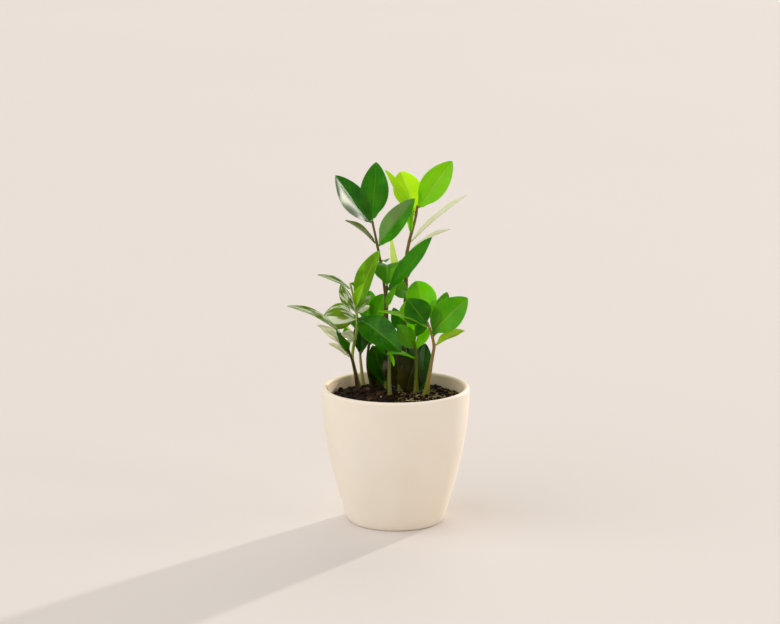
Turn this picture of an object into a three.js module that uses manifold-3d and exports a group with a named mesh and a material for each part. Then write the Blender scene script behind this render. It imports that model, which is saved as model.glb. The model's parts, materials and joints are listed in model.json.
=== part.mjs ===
// A young zz plant in a matt cream pot: the pot, the soil in it, two rhizomes buried in the soil,
// the stems that rise from them, and a node for each leaflet.
// Lengths are millimetres. +Z is up, +X is right in the front view and -Y faces the viewer.
// The origin is the centre of the pot's flat base.
import * as THREE from "three";
import { mergeVertices } from "three/addons/utils/BufferGeometryUtils.js";
import Module from "manifold-3d";

// Driving dimensions
const potHeight = 130;
const rimRadius = 70;
const baseRadius = 45.5;
const wallThickness = 5;
const floorThickness = 7;
const baseCorner = 3;
const soilDrop = 10; // from the rim down to the soil's mean level
const fitGap = 0.3; // between neighbours that touch in the real plant

const soilLevel = potHeight - soilDrop;
const plant = new THREE.Group();

const wasm = await Module();
wasm.setup();

const vector = ([x, y, z]) => new THREE.Vector3(x, y, z);

function matt(color, roughness) {
  return new THREE.MeshStandardMaterial({ color, roughness, metalness: 0 });
}

const finishes = {
  pot: matt(0xe8dccb, 0.75),
  soil: matt(0x2b1c12, 0.95),
  rhizome: matt(0xb59a6b, 0.8),
  greenStem: matt(0x5c6b1e, 0.55),
  brownStem: matt(0x4a2f1c, 0.6),
  darkLeaf: matt(0x1f5e0e, 0.3),
  freshLeaf: matt(0x5fa614, 0.35),
};

function addPiece(name, geometry, material) {
  geometry.computeVertexNormals();
  const piece = new THREE.Mesh(geometry, material);
  piece.name = name;
  plant.add(piece);
}

// Solids made of rings

// One closed body from a first point, rings of equal size and a last point. The rings run
// counter-clockwise when they are seen from the last point.
function loft(first, rings, last) {
  const count = rings[0].length;
  const points = [first, ...rings.flat(), last];
  const lastIndex = points.length - 1;
  const faces = [];
  for (let i = 0; i < count; i++) {
    const j = (i + 1) % count;
    faces.push(0, 1 + j, 1 + i);
    for (let ring = 0; ring < rings.length - 1; ring++) {
      const low = 1 + ring * count;
      const high = low + count;
      faces.push(low + i, low + j, high + j);
      faces.push(low + i, high + j, high + i);
    }
    const top = lastIndex - count;
    faces.push(top + i, top + j, lastIndex);
  }
  const geometry = new THREE.BufferGeometry().setFromPoints(points);
  geometry.setIndex(faces);
  return geometry;
}

function solidOf(geometry) {
  const bare = geometry.clone();
  bare.deleteAttribute("normal");
  bare.deleteAttribute("uv");
  const merged = mergeVertices(bare, 1e-3);
  const vertProperties = new Float32Array(merged.attributes.position.array);
  const triVerts = new Uint32Array(merged.index.array);
  return new wasm.Manifold(new wasm.Mesh({ numProp: 3, vertProperties, triVerts }));
}

function geometryOf(solid) {
  const { vertProperties, triVerts } = solid.getMesh();
  const geometry = new THREE.BufferGeometry();
  geometry.setAttribute("position", new THREE.BufferAttribute(vertProperties, 3));
  geometry.setIndex(new THREE.BufferAttribute(triVerts, 1));
  return geometry;
}

// Pot

const potSegments = 56;

// The wall bellies out from the base and is nearly upright at the lip.
const wallCurve = new THREE.CubicBezierCurve(
  new THREE.Vector2(baseRadius, 0),
  new THREE.Vector2(60, 45),
  new THREE.Vector2(rimRadius, 85),
  new THREE.Vector2(rimRadius, potHeight - wallThickness / 2),
);

// The wall's outer radius at a height, found by halving the curve.
function wallRadius(height) {
  const halvings = 24;
  let low = 0;
  let high = 1;
  for (let turn = 0; turn < halvings; turn++) {
    const middle = (low + high) / 2;
    if (wallCurve.getPoint(middle).y < height) low = middle;
    else high = middle;
  }
  return wallCurve.getPoint(low).x;
}

const innerRadius = (height) => wallRadius(height) - wallThickness;

function potProfile() {
  const outerShares = [0.06, 0.18, 0.32, 0.46, 0.6, 0.74, 0.87];
  const innerShares = [0.74, 0.46, 0.2, 0];
  const lipRadius = wallThickness / 2;
  const lipHeight = potHeight - lipRadius;
  const profile = [new THREE.Vector2(0, 0)];
  for (const angle of [-90, -60, -30]) {
    const turn = THREE.MathUtils.degToRad(angle);
    const x = baseRadius - baseCorner + baseCorner * Math.cos(turn);
    profile.push(new THREE.Vector2(x, baseCorner + baseCorner * Math.sin(turn)));
  }
  for (const share of outerShares) {
    const height = lipHeight * share;
    profile.push(new THREE.Vector2(wallRadius(height), height));
  }
  for (const angle of [0, 45, 90, 135, 180]) {
    const turn = THREE.MathUtils.degToRad(angle);
    const x = rimRadius - lipRadius + lipRadius * Math.cos(turn);
    profile.push(new THREE.Vector2(x, lipHeight + lipRadius * Math.sin(turn)));
  }
  for (const share of innerShares) {
    const height = THREE.MathUtils.lerp(floorThickness, lipHeight, share);
    profile.push(new THREE.Vector2(innerRadius(height), height));
  }
  profile.push(new THREE.Vector2(0, floorThickness));
  return profile;
}

function makePot() {
  const geometry = new THREE.LatheGeometry(potProfile(), potSegments);
  geometry.rotateX(Math.PI / 2);
  addPiece("pot", geometry, finishes.pot);
}

// Rhizomes

// Potato-like tubers that lie in the soil. The stems grow from them.
const rhizomes = {
  left: { centre: [-26, 34, 82], halfSize: [20, 15, 13], lean: 0.5 },
  right: { centre: [12, 5, 82], halfSize: [25, 18, 13], lean: -0.3 },
};

const rhizomeRings = 7;
const rhizomeSides = 12;
const lumps = { broad: 0.06, small: 0.04 }; // as shares of the half size

// The surface of a rhizome in the direction of two angles, grown by a margin.
function rhizomePoint({ centre, halfSize, lean }, rise, turn, grow) {
  const lump = 1 + lumps.broad * Math.sin(3 * turn + 2 * rise) + lumps.small * Math.cos(5 * turn);
  const flat = Math.cos(rise) * lump;
  const along = (halfSize[0] + grow) * flat * Math.cos(turn);
  const across = (halfSize[1] + grow) * flat * Math.sin(turn);
  const x = centre[0] + along * Math.cos(lean) - across * Math.sin(lean);
  const y = centre[1] + along * Math.sin(lean) + across * Math.cos(lean);
  return new THREE.Vector3(x, y, centre[2] + (halfSize[2] + grow) * Math.sin(rise));
}

function rhizomeGeometry(rhizome, grow) {
  const rings = [];
  for (let step = 1; step <= rhizomeRings; step++) {
    const rise = -Math.PI / 2 + (Math.PI * step) / (rhizomeRings + 1);
    const ring = [];
    for (let side = 0; side < rhizomeSides; side++) {
      ring.push(rhizomePoint(rhizome, rise, (2 * Math.PI * side) / rhizomeSides, grow));
    }
    rings.push(ring);
  }
  const bottom = rhizomePoint(rhizome, -Math.PI / 2, 0, grow);
  return loft(bottom, rings, rhizomePoint(rhizome, Math.PI / 2, 0, grow));
}

function makeRhizomes() {
  for (const [name, rhizome] of Object.entries(rhizomes)) {
    addPiece(`rhizome_${name}`, rhizomeGeometry(rhizome, 0), finishes.rhizome);
  }
}

// Stems

// Each path starts just under the soil's surface. The tip radius is the stem's at its top.
const stems = {
  low_left: {
    path: [[-36, 26, 119], [-38.5, 24, 138], [-42.5, 20, 154.5], [-49, 14, 170.5], [-52.5, 11, 179]],
    radius: 1.7, tipRadius: 0.9, finish: finishes.brownStem, rhizome: "left",
  },
  middle_left: {
    path: [[-35, 36, 119], [-38.5, 33, 136], [-41.5, 30, 152.5], [-38.5, 26, 169], [-36.5, 22, 184.5],
      [-37.5, 18, 201.5], [-43, 17, 226]],
    radius: 1.9, tipRadius: 1, finish: finishes.greenStem, rhizome: "left",
  },
  back_left: {
    path: [[-31, 48, 119], [-33, 46, 140], [-34, 44, 156], [-29, 42, 183.5]],
    radius: 1.7, tipRadius: 1, finish: finishes.greenStem, rhizome: "left",
  },
  back_middle: {
    path: [[-22.5, 42, 119], [-26.5, 40, 138.5], [-26, 37, 157], [-20.5, 34, 185]],
    radius: 1.8, tipRadius: 1, finish: finishes.brownStem, rhizome: "left",
  },
  tall_left: {
    path: [[-8, 26, 119], [-8, 28, 149], [-8, 29, 178], [-9, 28, 207], [-12, 26, 232], [-14.5, 24, 246],
      [-17.5, 20, 264], [-22, 16, 285.5]],
    radius: 2.3, tipRadius: 1.1, finish: finishes.greenStem, rhizome: "left",
  },
  front: {
    path: [[-5, -8, 119], [-6, -7, 141.5], [-6, -4, 161], [-10, 3, 193], [-8, 8, 225]],
    radius: 1.7, tipRadius: 1.2, finish: finishes.greenStem, rhizome: "right",
  },
  tall_right: {
    path: [[5.5, 14, 119], [7, 20, 150.5], [9, 25, 179], [10, 29, 217], [11, 30, 255],
      [17.5, 30, 279.5], [21, 30, 298]],
    radius: 3.4, tipRadius: 1.2, finish: finishes.brownStem, rhizome: "right",
  },
  back_right: {
    path: [[13.5, 24, 119], [15, 28, 140], [12, 33, 158.5], [2.5, 38, 184.5]],
    radius: 2.9, tipRadius: 1, finish: finishes.greenStem, rhizome: "right",
  },
  middle_right: {
    path: [[19.5, 6, 119], [19.5, 6, 139.5], [19.5, 4, 156], [17.5, 0, 179.5], [17.5, -2, 191.5]],
    radius: 2.1, tipRadius: 1, finish: finishes.greenStem, rhizome: "right",
  },
  low_right: {
    path: [[28, -2, 119], [31.5, -4, 138], [34.5, -6, 158.5], [36.5, -7, 169], [33.5, -8, 183],
      [29.5, -10, 194]],
    radius: 2.5, tipRadius: 1.1, finish: finishes.brownStem, rhizome: "right",
  },
};

const stemSides = 8;
const stemSteps = 13;
const footShift = 0.25; // a stem's foot leans in to the middle of its rhizome by this share
const footRise = 4; // from the middle of the rhizome up to the foot
const footSwell = 0.55; // a stem is thicker by this share where it leaves the soil
const swellHeight = 12; // the swelling fades over this height
const taperPower = 0.8;
const footCap = 0.4; // the ends are domed by these shares of their radius
const tipCap = 0.5;

// A stem's centre line, from its foot inside the rhizome to its tip.
function stemCurve(stem) {
  const { centre } = rhizomes[stem.rhizome];
  const foot = vector(stem.path[0]).lerp(vector(centre), footShift).setZ(centre[2] + footRise);
  return new THREE.CatmullRomCurve3([foot, ...stem.path.map(vector)]);
}

// The radius swells at the soil and tapers to the tip.
function stemRadius(stem, height) {
  const top = stem.path.at(-1)[2];
  const share = THREE.MathUtils.clamp((height - soilLevel) / (top - soilLevel), 0, 1);
  const swell = 1 + footSwell * Math.exp(-Math.max(0, height - soilLevel) / swellHeight);
  return THREE.MathUtils.lerp(stem.radius * swell, stem.tipRadius, share ** taperPower);
}

function ringAround(centre, along, radius) {
  const side = new THREE.Vector3(1, 0, 0).projectOnPlane(along).normalize();
  const other = new THREE.Vector3().crossVectors(along, side);
  return Array.from({ length: stemSides }, (_, i) => {
    const turn = (2 * Math.PI * i) / stemSides;
    return centre.clone()
      .addScaledVector(side, radius * Math.cos(turn))
      .addScaledVector(other, radius * Math.sin(turn));
  });
}

function stemGeometry(stem, grow) {
  const curve = stemCurve(stem);
  const rings = [];
  for (let step = 0; step <= stemSteps; step++) {
    const share = step / stemSteps;
    const centre = curve.getPointAt(share);
    const radius = stemRadius(stem, centre.z) + grow;
    rings.push(ringAround(centre, curve.getTangentAt(share), radius));
  }
  const foot = curve.getPointAt(0).addScaledVector(curve.getTangentAt(0), -footCap * stem.radius - grow);
  const tip = curve.getPointAt(1).addScaledVector(curve.getTangentAt(1), tipCap * stem.tipRadius + grow);
  return loft(foot, rings, tip);
}

// The foot is cut back to the face of the rhizome that it grows from.
function makeStem(name, stem) {
  const rhizome = solidOf(rhizomeGeometry(rhizomes[stem.rhizome], fitGap));
  const body = solidOf(stemGeometry(stem, 0)).subtract(rhizome);
  addPiece(`stem_${name}`, geometryOf(body), stem.finish);
}

// Soil

const soilSegments = 40;
const soilHeap = 1.5; // the soil's middle stands this far over its mean level
const soilDip = 3.5; // and falls by this much to the wall

function soilHeight(x, y) {
  const coarse = 0.7 * Math.sin(x / 5.1 + 1) * Math.cos(y / 6.3);
  const fine = 0.5 * Math.sin(x / 2.9 + y / 3.7);
  const out = Math.hypot(x, y) / innerRadius(soilLevel);
  return soilLevel + coarse + fine + soilHeap - soilDip * out ** 2;
}

// A ring at one height, or on the lumpy surface where no height is given.
function soilRing(radius, height) {
  return Array.from({ length: soilSegments }, (_, i) => {
    const turn = (2 * Math.PI * i) / soilSegments;
    const [x, y] = [radius * Math.cos(turn), radius * Math.sin(turn)];
    return new THREE.Vector3(x, y, height ?? soilHeight(x, y));
  });
}

function makeSoil() {
  const sideShares = [0, 0.25, 0.5, 0.75, 0.93];
  const topShares = [1, 0.9, 0.78, 0.64, 0.5, 0.36, 0.22, 0.1];
  const bottom = floorThickness + fitGap;
  const sides = sideShares.map((share) => {
    const height = THREE.MathUtils.lerp(bottom, soilLevel, share);
    return soilRing(innerRadius(height) - 2 * fitGap, height);
  });
  const edge = innerRadius(soilLevel) - 3 * fitGap;
  const top = topShares.map((share) => soilRing(edge * share));
  const middle = new THREE.Vector3(0, 0, soilHeight(0, 0));
  let soil = solidOf(loft(new THREE.Vector3(0, 0, bottom), [...sides, ...top], middle));
  for (const stem of Object.values(stems)) {
    soil = soil.subtract(solidOf(stemGeometry(stem, fitGap)));
  }
  for (const rhizome of Object.values(rhizomes)) {
    soil = soil.subtract(solidOf(rhizomeGeometry(rhizome, fitGap)));
  }
  addPiece("soil", geometryOf(soil), finishes.soil);
}

// Leaves

// Each leaflet springs from its stem at a height. Its reach goes from the stem's axis to the tip,
// its upper side faces the direction given, and bend is how far the rib bows towards that side.
// The leaflets are numbered in their order here.
const leaves = {
  tall_left: [
    { height: 300, reach: [4, 4, 55.5], faces: [0.05, -1, 0.2], width: 28, bend: 2 },
    { height: 284, reach: [-34.5, -6.5, 46], faces: [0.1, -0.95, 0.3], width: 25, bend: -2 },
    { height: 264, reach: [-30, 6, 21], faces: [0.6, -0.05, 0.8], width: 17, bend: 2 },
    { height: 261, reach: [35, -17, 48], faces: [-0.3, -0.9, 0.3], width: 23, bend: 3 },
    { height: 244, reach: [5, 21, -3], faces: [0, 0.1, 1], width: 13, bend: 2 },
    { height: 232, reach: [6, 30, -1], faces: [0.3, -0.6, 0.7], width: 18, bend: 3 },
    { height: 130, reach: [-14, -14, 37], faces: [-0.1, -0.9, -0.1], width: 22, bend: 1 },
  ],
  tall_right: [
    { height: 291, reach: [-15, 20, 36.5], faces: [0.05, -0.93, 0.35], width: 29, bend: 3 },
    { height: 296, reach: [33, 4, 44], faces: [-0.2, -0.95, 0.2], width: 27, bend: 2 },
    { height: 289, reach: [-29, -17, 46], faces: [0.8, -0.5, 0.3], width: 15, bend: -1 },
    { height: 272, reach: [1.5, -8, 22], faces: [-0.8, -0.6, 0], width: 10, bend: 1 },
    { height: 264, reach: [55, 10, 43], faces: [-0.6, -0.2, 0.75], width: 14, bend: 2 },
    { height: 253, reach: [42, 4, 22], faces: [-0.4, -0.05, 0.9], width: 13, bend: 3 },
    { height: 222, reach: [-14, 5, 46], faces: [-0.85, -0.45, -0.2], width: 15, bend: 1 },
    { height: 227, reach: [4, 34, 14], faces: [-0.2, -0.5, 0.8], width: 20, bend: 3 },
    { height: 187, reach: [3, -14, 25], faces: [0.1, -0.95, 0.3], width: 17, bend: 2 },
  ],
  middle_left: [
    { height: 202, reach: [23, -14, 58], faces: [-0.6, -0.75, 0.2], width: 22, bend: 4 },
    { height: 221, reach: [-32, 6, 12], faces: [0.25, -0.2, 0.95], width: 12, bend: 1 },
    { height: 199, reach: [-14, -14, 29], faces: [-0.5, -0.7, 0.5], width: 15, bend: 1 },
    { height: 190, reach: [-32, 2, 3], faces: [-0.2, -0.85, 0.45], width: 27, bend: 2 },
    { height: 192, reach: [42, -40, -24.5], faces: [0.1, -0.9, 0.4], width: 30, bend: 6 },
    { height: 171, reach: [-13, -18, 8], faces: [-0.2, -0.9, 0.4], width: 12, bend: 1 },
  ],
  low_left: [
    { height: 181, reach: [-49, -24, 31], faces: [0.35, -0.3, 0.87], width: 15, bend: 4 },
    { height: 161, reach: [-29, -13, 27], faces: [0.4, -0.5, 0.75], width: 14, bend: 2 },
    { height: 155, reach: [-21, -13, 15], faces: [0.3, -0.5, 0.8], width: 9, bend: 1 },
    { height: 160, reach: [-3, 14, 20], faces: [-0.5, -0.8, 0.3], width: 11, bend: 1 },
  ],
  front: [
    { height: 222, reach: [42, -24, 54], faces: [-0.5, -0.8, 0.35], width: 18, bend: -1 },
    { height: 228, reach: [0, 17, 17], faces: [0, -0.7, 0.7], width: 28, bend: 10 },
    { height: 222, reach: [20, 14, -5], faces: [0.3, -0.9, 0.5], width: 19, bend: 2 },
    { height: 205, reach: [10, -9, 21], faces: [-0.6, -0.8, 0.1], width: 8, bend: 1 },
  ],
  back_left: [
    { height: 186, reach: [5, 6, 29], faces: [0, -0.9, 0.4], width: 22, bend: 2 },
    { height: 170, reach: [-26, 18, 22], faces: [0.4, -0.3, 0.85], width: 18, bend: 3 },
  ],
  back_middle: [
    { height: 188, reach: [9, 6, 26], faces: [0, -0.9, 0.4], width: 20, bend: 2 },
    { height: 160, reach: [6, 34, 20], faces: [0, -0.4, 0.9], width: 20, bend: 3 },
  ],
  back_right: [
    { height: 176, reach: [-8, -8, 24], faces: [0, -0.9, 0.4], width: 14, bend: 1 },
    { height: 170, reach: [24, 30, 22], faces: [-0.3, -0.4, 0.85], width: 20, bend: 3 },
    { height: 130, reach: [-2, 13, 34], faces: [-0.1, 0.95, 0.2], width: 22, bend: 2 },
  ],
  middle_right: [
    { height: 165, reach: [15, 11, 19], faces: [-0.5, -0.8, 0.2], width: 12, bend: 1 },
    { height: 177, reach: [12, 16, 11], faces: [-0.3, -0.8, 0.5], width: 12, bend: 1 },
    { height: 167, reach: [-17, -13, 25], faces: [0.3, -0.95, 0.1], width: 18, bend: 1 },
    { height: 157, reach: [-28, -20, 8], faces: [0, -0.15, 1], width: 12, bend: 2 },
  ],
  low_right: [
    { height: 198, reach: [-10, 22, 35], faces: [0.05, -0.95, 0.3], width: 30, bend: 4 },
    { height: 190, reach: [-47, -17, 18], faces: [0.15, -0.1, 1], width: 13, bend: 2 },
    { height: 183, reach: [34, -6, 35], faces: [-0.2, -0.9, 0.35], width: 31, bend: 3 },
    { height: 179, reach: [14, 17, 40], faces: [-0.1, -0.9, 0.3], width: 18, bend: 2 },
    { height: 171, reach: [29, 5, 13], faces: [-0.3, -0.35, 0.88], width: 15, bend: 2 },
  ],
};

const stationShares = [0.045, 0.13, 0.26, 0.41, 0.56, 0.71, 0.85, 0.95]; // along the rib
const stalkShare = 0.06; // the round stalk takes this much of the rib
const stalkRadius = 0.85;
const stalkHalfRise = 0.6; // of the stalk's ring at half its width, as a share of its radius
const bladeThickness = 0.8;
const ribThickness = 1.15;
const tipThinning = 0.55; // the blade's thickness at the tip, as a share
const foldAngle = THREE.MathUtils.degToRad(17);
const foldHollow = 0.36; // half-way out, the fold has risen by this share
const widestLean = 0.9; // below 1 the widest place moves towards the tip
const bladeFullness = 0.74; // below 1 the outline is fuller than a sine curve
const searchStep = 0.002;

// The rib's curve, from just off the stem to the tip. A leaflet that springs from higher than the
// stem's top grows out of the top itself.
function ribCurve(leaf, stem) {
  const curve = stemCurve(stem);
  const isTopmost = leaf.height > stem.path.at(-1)[2];
  let share = 1;
  while (share > 0 && curve.getPointAt(share).z > leaf.height) share -= searchStep;
  const centre = curve.getPointAt(share);
  const along = curve.getTangentAt(share);
  const reach = vector(leaf.reach);
  const out = isTopmost ? along : reach.clone().projectOnPlane(along).normalize();
  const offset = isTopmost ? tipCap * stem.tipRadius : stemRadius(stem, centre.z);
  const start = centre.clone().addScaledVector(out, offset + fitGap);
  const tip = centre.clone().add(reach);
  const chord = tip.clone().sub(start);
  const face = vector(leaf.faces).projectOnPlane(chord.clone().normalize()).normalize();
  const control = start.clone().lerp(tip, 0.5).addScaledVector(face, 2 * leaf.bend);
  return { rib: new THREE.QuadraticBezierCurve3(start, control, tip), face };
}

// Half the blade's width at a share of the rib, never narrower than the stalk.
function halfWidth(leaf, share) {
  const blade = Math.max(0, (share - stalkShare) / (1 - stalkShare));
  const outline = Math.sin(Math.PI * blade ** widestLean) ** bladeFullness;
  return Math.max(stalkRadius, (leaf.width / 2) * outline);
}

// A ring of eight points: the right edge, three on the upper side, the left edge, three below.
function leafRing(leaf, rib, face, share) {
  const centre = rib.getPoint(share);
  const along = rib.getTangent(share);
  const across = new THREE.Vector3().crossVectors(face, along).normalize();
  const top = new THREE.Vector3().crossVectors(along, across).normalize();
  const half = halfWidth(leaf, share);
  const isStalk = share < stalkShare;
  const fold = isStalk ? 0 : foldAngle;
  const taper = THREE.MathUtils.lerp(1, tipThinning, share);
  const crown = isStalk ? stalkHalfRise * stalkRadius : 0;
  const keel = isStalk ? stalkRadius : ribThickness * taper;
  const blade = isStalk ? stalkHalfRise * stalkRadius : bladeThickness * taper;
  const edgeRise = half * Math.sin(fold);
  const middleRise = foldHollow * edgeRise;
  const place = (side, rise) => centre.clone()
    .addScaledVector(across, side * half * Math.cos(fold)).addScaledVector(top, rise);
  return [
    place(1, edgeRise),
    place(0.5, middleRise + crown),
    place(0, crown),
    place(-0.5, middleRise + crown),
    place(-1, edgeRise),
    place(-0.5, middleRise - blade),
    place(0, -keel),
    place(0.5, middleRise - blade),
  ];
}

// The tall right stem is the youngest, and its leaflets are a fresher green.
function makeLeaf(stemName, leaf, index) {
  const { rib, face } = ribCurve(leaf, stems[stemName]);
  const rings = stationShares.map((share) => leafRing(leaf, rib, face, share));
  const finish = stemName === "tall_right" ? finishes.freshLeaf : finishes.darkLeaf;
  addPiece(`leaf_${stemName}_${index + 1}`, loft(rib.getPoint(0), rings, rib.getPoint(1)), finish);
}

makePot();
makeSoil();
makeRhizomes();
for (const [name, stem] of Object.entries(stems)) makeStem(name, stem);
for (const [name, row] of Object.entries(leaves)) {
  row.forEach((leaf, index) => makeLeaf(name, leaf, index));
}

export default plant;
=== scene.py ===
import json
import math
import random

import bmesh
import bpy
import numpy as np
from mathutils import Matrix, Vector, kdtree, noise
from mathutils.bvhtree import BVHTree


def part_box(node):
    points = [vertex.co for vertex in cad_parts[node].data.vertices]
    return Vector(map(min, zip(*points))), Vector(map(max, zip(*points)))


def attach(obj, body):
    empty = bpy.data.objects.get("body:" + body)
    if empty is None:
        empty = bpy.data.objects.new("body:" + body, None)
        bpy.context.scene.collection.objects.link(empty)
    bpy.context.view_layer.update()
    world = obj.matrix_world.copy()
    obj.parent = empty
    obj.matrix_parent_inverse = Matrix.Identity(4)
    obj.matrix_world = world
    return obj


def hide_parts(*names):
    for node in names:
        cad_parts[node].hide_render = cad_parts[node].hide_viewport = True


# A young zz plant in a matt cream pot. Everything is in metres, in the frame's own place.
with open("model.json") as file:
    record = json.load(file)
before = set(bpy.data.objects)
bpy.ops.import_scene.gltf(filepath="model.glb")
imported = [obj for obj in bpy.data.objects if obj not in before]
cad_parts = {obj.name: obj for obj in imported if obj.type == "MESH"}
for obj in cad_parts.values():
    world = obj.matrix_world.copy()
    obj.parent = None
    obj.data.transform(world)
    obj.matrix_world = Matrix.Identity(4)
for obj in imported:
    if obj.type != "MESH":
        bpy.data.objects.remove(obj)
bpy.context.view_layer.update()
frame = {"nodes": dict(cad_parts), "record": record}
nodes = frame["nodes"]
print("frame loaded:", len(nodes), "nodes")


# Camera and light

cameraSetup = {
    "place": (-0.0052, -2.487, 0.7165),
    "lookDown": 11.7,  # degrees
    "sensorWidth": 36.0,
    "lens": 124.6,
    "seesTo": 50,
}

# the air lights everything with its colour, and the camera sees the backdrop, toned like the floor, instead
airSetup = {"colour": (255, 250, 246), "strength": 0.46, "backdrop": (237, 227, 218)}

# far lights: turn and height in degrees give where each one comes from, and spread how soft it is
lampDistance = 3
farLights = {
    "key": {"turn": 51.5, "height": 13.5, "spread": 2.2, "colour": (255, 246, 234), "strength": 2.15},
    "fill": {"turn": 209.0, "height": 42.0, "spread": 80.0, "colour": (255, 252, 248), "strength": 1.7},
    "window": {"turn": 78.0, "height": 38.0, "spread": 40.0, "colour": (255, 252, 248), "strength": 0.5},
    "side": {"turn": 332.0, "height": 11.5, "spread": 19.0, "colour": (255, 244, 230), "strength": 0.5},
    "edge": {"turn": 7.0, "height": 22.0, "spread": 22.0, "colour": (255, 244, 230), "strength": 0.32},
}


def paint(colour, alpha=1.0):
    # from 0 to 255 in screen values to the linear values that shaders take
    shares = [value / 255 for value in colour]
    linear = [v / 12.92 if v <= 0.04045 else ((v + 0.055) / 1.055) ** 2.4 for v in shares]
    return (*linear, alpha)


def link(thing):
    bpy.context.scene.collection.objects.link(thing)
    return thing


def makeCamera():
    lens = bpy.data.cameras.new("camera")
    lens.sensor_width = cameraSetup["sensorWidth"]
    lens.lens = cameraSetup["lens"]
    lens.clip_end = cameraSetup["seesTo"]
    camera = link(bpy.data.objects.new("camera", lens))
    camera.location = cameraSetup["place"]
    camera.rotation_euler = (math.radians(90 - cameraSetup["lookDown"]), 0, 0)
    bpy.context.scene.camera = camera
    bpy.context.scene.view_settings.view_transform = "Standard"


def aimAt(thing, target):
    thing.rotation_euler = (Vector(target) - thing.location).to_track_quat("-Z", "Y").to_euler()


def makeAir():
    world = bpy.data.worlds.new("room")
    bpy.context.scene.world = world
    air = Shader(world)
    glow = air.node("Background", {}, {"Color": paint(airSetup["colour"]), "Strength": airSetup["strength"]})
    backdrop = air.node("Background", {}, {"Color": paint(airSetup["backdrop"]), "Strength": 1.0})
    seen = air.node("LightPath", output="Is Camera Ray")
    air.finish(air.node("MixShader", {}, {0: seen, 1: glow, 2: backdrop}), "OutputWorld")


def makeLights():
    for name, setup in farLights.items():
        sun = bpy.data.lights.new(name, "SUN")
        sun.energy = setup["strength"]
        sun.color = paint(setup["colour"])[:3]
        sun.angle = math.radians(setup["spread"])
        lamp = link(bpy.data.objects.new(name, sun))
        turn, height = math.radians(setup["turn"]), math.radians(setup["height"])
        towards = (math.cos(turn) * math.cos(height), math.sin(turn) * math.cos(height), math.sin(height))
        lamp.location = Vector(towards) * lampDistance
        aimAt(lamp, (0, 0, 0))
    print("lights made")


# Shaders

class Socket:
    # wraps an output, so that arithmetic on it adds Math nodes
    def __init__(self, shader, socket):
        self.shader = shader
        self.socket = socket

    def math(self, operation, *values):
        return self.shader.node("Math", {"operation": operation}, dict(enumerate(values)))

    def __add__(self, other):
        return self.math("ADD", self, other)

    def __radd__(self, other):
        return self.math("ADD", other, self)

    def __sub__(self, other):
        return self.math("SUBTRACT", self, other)

    def __rsub__(self, other):
        return self.math("SUBTRACT", other, self)

    def __mul__(self, other):
        return self.math("MULTIPLY", self, other)

    def __rmul__(self, other):
        return self.math("MULTIPLY", other, self)

    def __pow__(self, other):
        return self.math("POWER", self, other)

    def __abs__(self):
        return self.math("ABSOLUTE", self)

    def sine(self):
        return self.math("SINE", self)

    def rise(self, low, high):
        # 0 below low and 1 above high, with a soft step between
        return self.shader.node(
            "MapRange", {"interpolation_type": "SMOOTHSTEP"}, {0: self, 1: low, 2: high, 3: 0.0, 4: 1.0}
        )

    def parts(self):
        return [Socket(self.shader, output) for output in self.socket.node.outputs]


class Shader:
    # the nodes of a new material, or of the world that is given
    def __init__(self, owner):
        self.owner = bpy.data.materials.new(owner) if isinstance(owner, str) else owner
        self.owner.use_nodes = True
        self.tree = self.owner.node_tree
        self.tree.nodes.clear()

    def node(self, kind, settings=None, sockets=None, output=0):
        made = self.tree.nodes.new("ShaderNode" + kind)
        for key, value in (settings or {}).items():
            setattr(made, key, value)
        for key, value in (sockets or {}).items():
            if isinstance(value, Socket):
                self.tree.links.new(value.socket, made.inputs[key])
            else:
                made.inputs[key].default_value = value
        return Socket(self, made.outputs[output])

    def place(self):
        return self.node("TexCoord", output="Object")

    def noise(self, scale, detail=2.0, roughness=0.5, stretch=(1, 1, 1)):
        vector = self.node("Mapping", {}, {"Vector": self.place(), "Scale": stretch})
        return self.node(
            "TexNoise", {}, {"Vector": vector, "Scale": scale, "Detail": detail, "Roughness": roughness}
        )

    def mix(self, factor, low, high):
        return self.node("Mix", {"data_type": "RGBA"}, {0: factor, 6: low, 7: high}, 2)

    def bump(self, height, strength, distance):
        return self.node("Bump", {}, {"Strength": strength, "Distance": distance, "Height": height}, "Normal")

    def finish(self, surface, kind="OutputMaterial"):
        out = self.tree.nodes.new("ShaderNode" + kind)
        self.tree.links.new(surface.socket, out.inputs["Surface"])
        return self.owner


# Floor

floorSetup = {"half": 15.0, "tones": ((215, 209, 205), (219, 213, 209)), "cloudScale": 0.8, "roughness": 0.85}


def floorMaterial():
    shader = Shader("floor")
    cloud = shader.noise(floorSetup["cloudScale"], 2.0)
    colour = shader.mix(cloud, *[paint(tone) for tone in floorSetup["tones"]])
    return shader.finish(shader.node("BsdfPrincipled", {}, {
        "Base Color": colour, "Roughness": floorSetup["roughness"]}))


def makeFloor():
    half = floorSetup["half"]
    corners = [(-half, -half, 0), (half, -half, 0), (half, half, 0), (-half, half, 0)]
    mesh = bpy.data.meshes.new("floor")
    mesh.from_pydata(corners, [], [(0, 1, 2, 3)])
    mesh.materials.append(floorMaterial())
    link(bpy.data.objects.new("floor", mesh))


# Pieces

def makePiece(name, points, faces, material, node=None):
    mesh = bpy.data.meshes.new(name)
    mesh.from_pydata([tuple(point) for point in points], [], faces)
    mesh.update()
    mesh.shade_smooth()
    mesh.materials.append(material)
    piece = link(bpy.data.objects.new(name, mesh))
    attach(piece, "root")
    if node:
        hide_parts(node)
    return piece


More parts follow.
